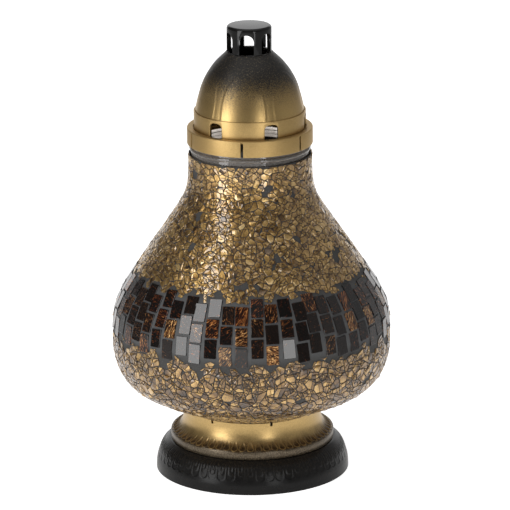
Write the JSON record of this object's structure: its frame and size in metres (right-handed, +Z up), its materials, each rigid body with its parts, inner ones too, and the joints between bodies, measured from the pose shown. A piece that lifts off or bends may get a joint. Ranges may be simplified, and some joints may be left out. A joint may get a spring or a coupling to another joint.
{
  "type": "mosaic glass candle lantern",
  "caption": "Pear-shaped glass candle lantern with a crackled gold and brown tile mosaic skin, a flared gold and black base and a vented lid that lifts off for the candle.",
  "frame": {"origin": "on the floor under the lantern's vertical axis, at the centre of the foot's resting rim", "axes": "+Z up along the axis of symmetry; -Y is the front, where a collar slit and a hood window face; +X to the viewer's right"},
  "size_m": [0.2024, 0.2024, 0.33],
  "materials": {
    "black_plastic": "satin to gloss black moulded plastic",
    "gold_paint": "satin sprayed old gold with a fine metallic grain",
    "two_tone_paint": "satin old gold at the base fading through brown to black at the crown",
    "clear_glass": "clear blown glass",
    "grout": "matt dark grey cement grout",
    "gold_glass": "crushed glass chips with a gold backing",
    "brown_glass": "glossy black-brown glass tiles with copper and gold foil streaks inside",
    "tinned_sheet": "thin bright pressed sheet",
    "cup_plastic": "translucent white blow-moulded cup",
    "wax": "smooth off-white candle wax",
    "cotton": "plaited cotton wick"
  },
  "bodies": {
    "base": {"foot": "black_plastic", "pedestal": "gold_paint", "glass_vessel": "clear_glass", "grout_bed": "grout", "gold_chips_lower": "gold_glass", "tile_row_lower": "brown_glass", "tile_row_middle": "brown_glass", "tile_row_upper": "brown_glass", "gold_chips_upper": "gold_glass"},
    "lid": {"neck_collar": "gold_paint", "vent_band": "gold_paint", "heat_shield": "tinned_sheet", "dome": "two_tone_paint", "chimney_hood": "black_plastic"},
    "candle": {"candle_cup": "cup_plastic", "candle_lid_ring": "tinned_sheet", "wax": "wax", "wick_sustainer": "tinned_sheet", "wick": "cotton"}
  },
  "joints": [
    {"name": "lid_lift", "type": "slide", "parent": "base", "child": "lid", "axis": [0, 0, 1], "range_m": [0, 0.12]},
    {"name": "candle_lift", "type": "slide", "parent": "base", "child": "candle", "axis": [0, 0, 1], "range_m": [0, 0.1]}
  ]
}
